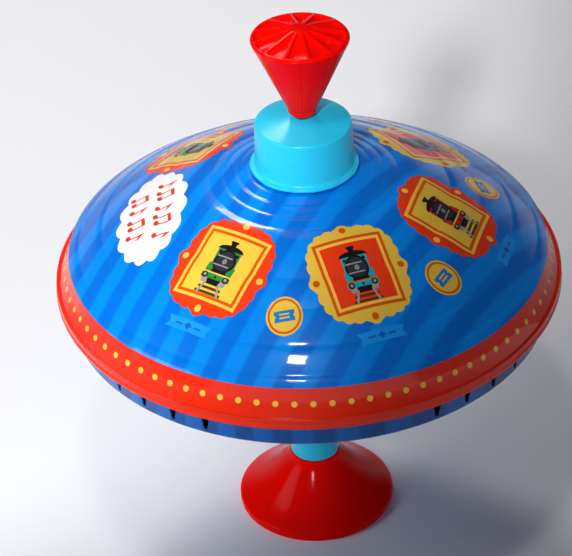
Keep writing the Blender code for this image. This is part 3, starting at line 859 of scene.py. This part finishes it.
# %% Band and seam
SEAM_HEIGHT = 4.2
SEAM_STEP = 0.9
SEAM_TOP = RIM_Z + SEAM_HEIGHT
BAND_FOOT_R = RIM_R - SEAM_STEP
band_profile = [
    (SHOULDER_R, dome_height(SHOULDER_R), 0),
    (SHOULDER_R + 0.35 * (BAND_FOOT_R - SHOULDER_R), (SHOULDER_Z + SEAM_TOP) / 2, 12.0),
    (BAND_FOOT_R - 0.35, SEAM_TOP - 0.45, 0.3),
    (BAND_FOOT_R - 0.1, SEAM_TOP, 0.3),
    (RIM_R - 0.25, SEAM_TOP, 1.0),
    (RIM_R - 0.35, RIM_Z + 1.9, 0.8),
    (RIM_R, RIM_Z + 1.2, 0.7),
    (RIM_R, RIM_Z, 0.9),
    (RIM_R - 2.2, RIM_Z, 0),
]
red_band = turned("red_band", rounded(band_profile), DOME_STEPS)
apply_modifier(red_band, "SOLIDIFY", thickness=TIN * MM, offset=-1.0)
smooth(red_band, 50)
RED_INK = lacquer("red_ink_on_tinplate", "#ee2a08")
hand_over(red_band, "body", "printed_tin", RED_INK, "upper_shell")

# %% [markdown]
# A row of pale dots runs round the band. One dot is a small plate with an inset rim, tilted to lie
# on the slope. It is copied at even steps, and the copies are joined into one piece.

# %% Dots on the band
DOT_COUNT = 87
DOT_R = 1.3
DOT_RIM = 0.22
DOT_DEPTH = 0.12
DOT_CORNERS = 16
DOT_Z = RIM_Z + 8.5
band_line = rounded(band_profile)
for (upper_r, upper_z), (lower_r, lower_z) in zip(band_line, band_line[1:]):
    if lower_z <= DOT_Z <= upper_z:
        share = (upper_z - DOT_Z) / (upper_z - lower_z)
        dot_place = upper_r + (lower_r - upper_r) * share
        band_slope = atan((upper_z - lower_z) / (lower_r - upper_r))
dot = flat_face(DOT_CORNERS, DOT_R)
face_up(dot)
dot.data.materials.append(INKS["pale_line"])
dot.data.materials.append(INKS["orange_line"])
start_edit(dot)
bpy.ops.mesh.inset(thickness=DOT_RIM * MM)
bpy.ops.object.mode_set(mode="OBJECT")
for face in dot.data.polygons:
    face.material_index = 1 if len(face.vertices) == 4 else 0
apply_modifier(dot, "SOLIDIFY", thickness=DOT_DEPTH * MM, offset=0.0)
lift = Matrix.Translation(Vector((0, -dot_place, DOT_Z)) * MM)
dot.data.transform(lift @ Matrix.Rotation(band_slope, 4, "X"))
band_dots = join(copies_round(dot, DOT_COUNT), "band_dots")
hand_over(band_dots, "body", "printed_tin", None)

# %% [markdown]
# ## The lower shell and its whistle slots
#
# A short upright skirt hangs under the seam and turns into a shallow belly. Air is drawn through
# the tapered slots in the skirt while the top spins, and makes the reeds inside hum. One wedge is
# modelled, copied round the skirt in four groups, and cut away in one go.

# %% Lower shell
SKIRT_IN = 4.4
SKIRT_DROP = 10.6
SKIRT_R = RIM_R - SKIRT_IN
SKIRT_Z = RIM_Z - SKIRT_DROP
BELLY_START_R = SKIRT_R - 1.9
BELLY_FLAT_R = 15.0
STEM_R = 9.45
belly = [(0.33, 0.0), (0.37, 1.2), (0.66, 0.0), (0.70, 1.2)]
lower_profile = [
    (RIM_R - 1.3, FLANGE_TOP, 0),
    (SKIRT_R, FLANGE_TOP, 0.7),
    (SKIRT_R - 0.6, SKIRT_Z + 1.2, 1.0),
    (BELLY_START_R, SKIRT_Z, 0.8),
]
for share, swell in belly:
    r = BELLY_START_R + (BELLY_FLAT_R - BELLY_START_R) * share
    z = SKIRT_Z + (BELLY_Z - SKIRT_Z) * share
    lower_profile.append((r, z - swell, 1.6))
lower_profile += [(BELLY_FLAT_R, BELLY_Z, 1.5), (STEM_R + GAP, BELLY_Z, 0)]
lower_shell = turned("blue_lower_shell", rounded(lower_profile), DOME_STEPS)
apply_modifier(lower_shell, "SOLIDIFY", thickness=TIN * MM, offset=-1.0)

# %% Whistle slots
SLOT_TOP_W = 3.4
SLOT_FOOT_W = 1.3
SLOT_HEIGHT = 6.6
SLOT_SPACING = 8.4
SLOT_BELOW_RIM = 1.6
SLOT_CUT = 6.0
SLOTS_IN_GROUP = 4
SLOT_GROUPS = (-37.5, 41.2, 142.5, 221.2)
slot_middle = RIM_Z - SLOT_BELOW_RIM - SLOT_HEIGHT / 2
slot_place = Vector((0, -SKIRT_R, slot_middle)) * MM
slot_cutters = []
for group in SLOT_GROUPS:
    for index in range(SLOTS_IN_GROUP):
        bpy.ops.object.select_all(action="DESELECT")
        bpy.ops.mesh.primitive_cube_add(size=MM, location=slot_place)
        cutter = bpy.context.active_object
        cutter.scale = (SLOT_TOP_W, SLOT_CUT, SLOT_HEIGHT)
        bpy.ops.object.transform_apply(location=True, scale=True)
        for vertex in cutter.data.vertices:
            if vertex.co.z < slot_middle * MM:
                vertex.co.x *= SLOT_FOOT_W / SLOT_TOP_W
        turn = group + (index - (SLOTS_IN_GROUP - 1) / 2) * SLOT_SPACING
        cutter.data.transform(Matrix.Rotation(radians(turn), 4, "Z"))
        slot_cutters.append(cutter)

cut_away(lower_shell, join(slot_cutters, "slot_cutters"))
smooth(lower_shell, 40)
BLUE_INK = striped("blue_ink_on_tinplate", "#0466c0", "#0450a0")
hand_over(lower_shell, "body", "blue_tin", BLUE_INK, "lower_shell")

# %% [markdown]
# ## The cap
#
# The light-blue cap is moulded in polystyrene. Its wall narrows slightly upwards so that it leaves
# the mould, it meets its flange in a soft fillet, and its top rises to the hole for the strip. The
# flange's edge isn't quite even: a few waves of unlike length move it in and out a little.

# %% Cap
CAP_HEIGHT = 18.0
CAP_Z = DOME_TOP + GAP
CAP_EDGE = CAP_Z + CAP_HEIGHT
CAP_R = 17.7
CAP_FOOT_R = 18.3
STRIP_HOLE_R = 2.92
FLANGE_UNEVEN = 0.14
FLANGE_WAVES = ((0.5, 7, 1.0), (0.3, 19, 0.0), (0.2, 31, 2.0))
cap_profile = [
    (STRIP_HOLE_R, CAP_PEAK, 0.5),
    (CAP_R, CAP_EDGE, 0.9),
    (CAP_FOOT_R, CAP_Z + 1.3, 1.5),
    (FLANGE_R, CAP_Z + 1.1, 0.5),
    (FLANGE_R, CAP_Z, 0.3),
    (NECK_R, CAP_Z, 0),
    (NECK_R, NECK_Z, 0.3),
    (NECK_R - PLASTIC, NECK_Z, 0.3),
    (NECK_R - PLASTIC, CAP_Z + 1.5, 0),
    (CAP_FOOT_R - PLASTIC, CAP_Z + 1.5, 0),
    (CAP_R - PLASTIC, CAP_EDGE - PLASTIC, 0),
    (STRIP_HOLE_R, CAP_PEAK - PLASTIC, 0),
]
cap = turned("cap", rounded(cap_profile), 96, closed=True)
for vertex in cap.data.vertices:
    radius = Vector(vertex.co[:2]).length / MM
    if radius > FLANGE_R - 0.7:
        turn = atan2(vertex.co.y, vertex.co.x)
        ragged = sum(part * sin(waves * turn + shift) for part, waves, shift in FLANGE_WAVES)
        vertex.co.xy *= 1 - FLANGE_UNEVEN * (1 + ragged) / radius
smooth(cap, 40)
SKY_STYRENE = moulded("sky_blue_polystyrene", "#26ccf4", 0.2, 0.32)
hand_over(cap, "body", "sky_plastic", SKY_STYRENE, "top_cap")

# %% Stem
STEM_BORE_R = 7.0
COLLAR_Z = BELLY_Z - GAP
stem_profile = [
    (STEM_BORE_R, STEM_TOP, 0),
    (STEM_R, STEM_TOP, 0.3),
    (STEM_R, COLLAR_Z, 0),
    (COLLAR_R, COLLAR_Z, 0.4),
    (COLLAR_R, COLLAR_Z - 1.8, 0.5),
    (STEM_R, COLLAR_Z - 3.0, 1.5),
    (STEM_R, STEM_Z, 0.7),
    (STEM_BORE_R, STEM_Z, 0),
]
stem = turned("stem_tube", rounded(stem_profile), 72, closed=True)
smooth(stem, 40)
hand_over(stem, "body", "sky_plastic", SKY_STYRENE, "stem")

# %% [markdown]
# ## The foot
#
# The foot is a shallow trumpet in red polystyrene, thickened at its lip, with a boss underneath
# that holds the steel pivot pin. Its flare is hollow: the curve sags below the straight line.

# %% Foot
FOOT_NECK_R = 10.2
LIP = 2.8
LIP_W = 1.9
FLARE_SAG = 1.6
FLARE_STEPS = 12
FLARE_TOP = FOOT_TOP - 1.2
FLARE_END_R = FOOT_R - 1.2
FLARE_END_Z = LIP + 0.9
UNDER_IN = 1.1
UNDER_DROP = 1.8
PIN_HOLE_R = 2.8
PIN_HOLE_Z = 8.0
BOSS_R = 7.5
BOSS_Z = 6.0
flare = []
for step in range(FLARE_STEPS + 1):
    share = step / FLARE_STEPS
    r = FOOT_NECK_R + (FLARE_END_R - FOOT_NECK_R) * share
    z = FLARE_TOP + (FLARE_END_Z - FLARE_TOP) * share
    flare.append((r, z - 4 * FLARE_SAG * share * (1 - share), 0))
under = [(r - UNDER_IN, z - UNDER_DROP, 0) for r, z, _ in reversed(flare[:-1])]
foot_profile = [
    (0, PIN_HOLE_Z, 0),
    (PIN_HOLE_R, PIN_HOLE_Z, 0),
    (PIN_HOLE_R, FOOT_TOP, 0.3),
    (FOOT_NECK_R - 0.5, FOOT_TOP, 0.6),
    *flare,
    (FOOT_R, LIP, 0.7),
    (FOOT_R, 0, 0.6),
    (FOOT_R - LIP_W, 0, 0.3),
    (FOOT_R - LIP_W, LIP - 1.1, 0),
    *under,
    (BOSS_R, under[-1][1] + 0.6, 0.5),
    (BOSS_R, BOSS_Z, 0.4),
    (0, BOSS_Z, 0),
]
foot = turned("trumpet_foot", rounded(foot_profile), 96)
smooth(foot, 40)
RED_STYRENE = moulded("red_polystyrene", "#f20803", shine=0.05)
hand_over(foot, "foot", "red_plastic", RED_STYRENE, "foot")

# %% [markdown]
# ## The handle
#
# The handle is a slim cone, wide end up, in the same red polystyrene. Its top is a low cone with
# twelve narrow ribs between shallow pockets, a hub in the middle and a plain band round the edge.
# The cone is turned, one pocket is modelled as a block, and twelve copies of it are cut away.

# %% Handle body
HANDLE_CROWN = 3.9
HANDLE_EDGE = HUB_Z - HANDLE_CROWN
TIP_R = 5.6
HUB_R = 3.6
STRIP_BORE_TOP = STRIP_TOP + GAP
handle_profile = [
    (0, HUB_Z, 0),
    (HUB_R, HUB_Z - 0.3, 1.2),
    (HANDLE_R - 0.5, HANDLE_EDGE + 0.25, 0.3),
    (HANDLE_R, HANDLE_EDGE - 0.4, 0.4),
    (HANDLE_R - 0.3, HANDLE_EDGE - 1.3, 0.4),
    (TIP_R, TIP_Z + 3.6, 1.5),
    (TIP_R - 0.4, TIP_Z + 1.5, 1.6),
    (TIP_R - 2.2, TIP_Z, 1.2),
    (STRIP_HOLE_R, TIP_Z, 0),
    (STRIP_HOLE_R, STRIP_BORE_TOP, 0),
    (0, STRIP_BORE_TOP, 0),
]
handle = turned("handle_cone", rounded(handle_profile), 120)

# %% Pockets between the ribs
RIB_COUNT = 12
RIB_TURN = 10.5
RIB_HALF = 0.5
POCKET_DEPTH = 1.7
POCKET_CUT = 8.0
POCKET_OUTER = HANDLE_R - 1.4
half_sector = pi / RIB_COUNT
slope = HANDLE_CROWN / (HANDLE_R - HUB_R)
pocket_outline = []
for radius, shares in ((HUB_R, (-1, 1)), (POCKET_OUTER, (1, 0.5, 0, -0.5, -1))):
    reach = half_sector - RIB_HALF / radius
    pocket_outline += [(radius, share * reach) for share in shares]
pocket = flat_face(len(pocket_outline))
for vertex, (radius, angle) in zip(pocket.data.vertices, pocket_outline):
    floor_z = HANDLE_EDGE + slope * (HANDLE_R - radius) - POCKET_DEPTH
    vertex.co = Vector((radius * cos(angle), radius * sin(angle), floor_z)) * MM
start_edit(pocket)
bpy.ops.mesh.extrude_region_move(TRANSFORM_OT_translate={"value": (0, 0, POCKET_CUT * MM)})
bpy.ops.mesh.select_all(action="SELECT")
bpy.ops.mesh.normals_make_consistent(inside=False)
settle(pocket, "pocket")
all_pockets = join(copies_round(pocket, RIB_COUNT), "pockets")
all_pockets.data.transform(Matrix.Rotation(radians(RIB_TURN) + half_sector - pi / 2, 4, "Z"))
cut_away(handle, all_pockets)
apply_modifier(
    handle, "BEVEL", width=0.22 * MM, segments=2, limit_method="ANGLE", angle_limit=radians(35)
)

# %% [markdown]
# The two halves of the mould leave a fine line down the front and the back of the cone. Each line
# is a slim wedge that stands a little proud of the cone and is sunk into it behind.

# %% Mould lines
MOULD_LINE_W = 0.34
MOULD_LINE_PROUD = 0.12
MOULD_LINE_SUNK = 0.4
line_top = (HANDLE_R - 0.35, HANDLE_EDGE - 1.6)
line_foot = (TIP_R, TIP_Z + 3.4)
mould_lines = []
for turn in (0, pi):
    bpy.ops.object.select_all(action="DESELECT")
    bpy.ops.mesh.primitive_cube_add(size=2.0)
    line = bpy.context.active_object
    for vertex in line.data.vertices:
        radius, z = line_top if vertex.co.z > 0 else line_foot
        radius += MOULD_LINE_PROUD if vertex.co.y < 0 else -MOULD_LINE_SUNK
        width = MOULD_LINE_W if vertex.co.y > 0 else 0.4 * MOULD_LINE_W
        vertex.co = Vector((vertex.co.x * width / 2, -radius, z)) * MM
    line.data.transform(Matrix.Rotation(turn, 4, "Z"))
    mould_lines.append(line)
handle = join([handle, *mould_lines], "handle_cone")
smooth(handle, 45)
hand_over(handle, "plunger", "red_plastic", RED_STYRENE, "handle")

# %% [markdown]
# ## The twisted strip
#
# The strip is flat steel, twisted once every 40 mm. A block is cut across into thin slices with
# bisect, and each slice is turned in proportion to its height. At rest the cap and body hide it.

# %% Strip
STRIP_PITCH = 40.0
STRIP_W = 5.0
STRIP_T = 1.6
strip_length = STRIP_TOP - STRIP_LOW
strip_middle = Vector((0, 0, (STRIP_TOP + STRIP_LOW) / 2))
bpy.ops.object.select_all(action="DESELECT")
bpy.ops.mesh.primitive_cube_add(size=MM, location=strip_middle * MM)
strip = bpy.context.active_object
strip.scale = (STRIP_W, STRIP_T, strip_length)
bpy.ops.object.transform_apply(location=True, scale=True)
apply_modifier(strip, "BEVEL", width=0.2 * MM, segments=2, limit_method="ANGLE")
start_edit(strip)
slices = int(strip_length)
for index in range(1, slices):
    height = STRIP_LOW + strip_length * index / slices
    bpy.ops.mesh.select_all(action="SELECT")
    bpy.ops.mesh.bisect(plane_co=(0, 0, height * MM), plane_no=(0, 0, 1))
settle(strip, "twisted_strip")
for vertex in strip.data.vertices:
    vertex.co = Matrix.Rotation(2 * pi * vertex.co.z / (STRIP_PITCH * MM), 3, "Z") @ vertex.co
smooth(strip, 40)
STEEL = metal("drawn_steel", "#c3c5c8", 0.22, 0.4)
hand_over(strip, "plunger", "steel", STEEL, "spindle")

# %% [markdown]
# ## Finishes of the model's own pieces
#
# The pieces inside come straight from the model. Each takes the finish of its material slot.

# %% Finishes by slot
BRASS = metal("rolled_brass", "#d8ae58", 0.25, 0.42)
BARE_TIN = metal("bare_tinplate", "#c9c8c2", 0.3, 0.5)
NYLON = moulded("natural_nylon", "#e6e1d2", 0.4, 0.55)
finishes = {
    "steel": STEEL,
    "brass": BRASS,
    "bare_tin": BARE_TIN,
    "nylon": NYLON,
    "red_plastic": RED_STYRENE,
    "sky_plastic": SKY_STYRENE,
    "printed_tin": RED_INK,
    "blue_tin": BLUE_INK,
}
for part in frame["record"]["subparts"]:
    node = frame["nodes"][part["node"]]
    node.data.materials.clear()
    node.data.materials.append(finishes[part["material_slot"]])
print("finished", len(frame["nodes"]), "nodes from the model")
